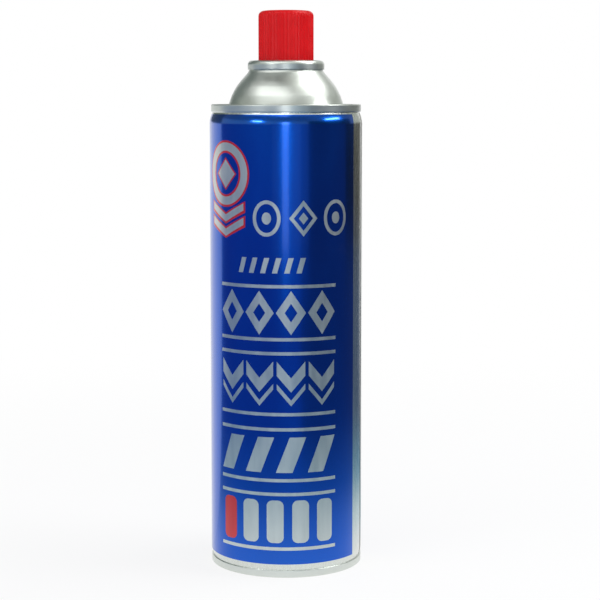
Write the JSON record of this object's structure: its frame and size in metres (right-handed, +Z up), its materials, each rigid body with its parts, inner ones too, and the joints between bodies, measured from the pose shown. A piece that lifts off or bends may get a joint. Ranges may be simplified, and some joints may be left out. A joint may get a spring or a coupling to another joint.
{
  "type": "fuel canister",
  "caption": "Tall steel gas canister with rolled seams, a rounded dome, a crimped valve cup, a sprung valve stem and a ribbed pull-off cap.",
  "frame": {"origin": "centre of the base on the surface that the canister stands on", "axes": "+Z up along the canister's axis; the printed panel in the picture faces -Y, so +X is to its right"},
  "size_m": [0.0654, 0.0654, 0.2377],
  "materials": {
    "printed_tinplate": "gloss metallic blue lacquer over tinplate, with silver and red print",
    "bare_tinplate": "bright satin tinplate",
    "black_rubber": "matt",
    "white_plastic": "satin moulded",
    "red_plastic": "gloss moulded, finely ribbed"
  },
  "bodies": {
    "can": {"can": "printed_tinplate", "valve_cup": "bare_tinplate", "stem_gasket": "black_rubber"},
    "cap": {"cap": "red_plastic"},
    "stem": {"valve_stem": "white_plastic"}
  },
  "joints": [
    {"name": "cap_lift", "type": "slide", "parent": "can", "child": "cap", "axis": [0, 0, 1], "range_m": [0, 0.03]},
    {"name": "stem_press", "type": "slide", "parent": "can", "child": "stem", "axis": [0, 0, -1], "range_m": [0, 0.0018], "stiffness_N_per_m": 2000}
  ]
}
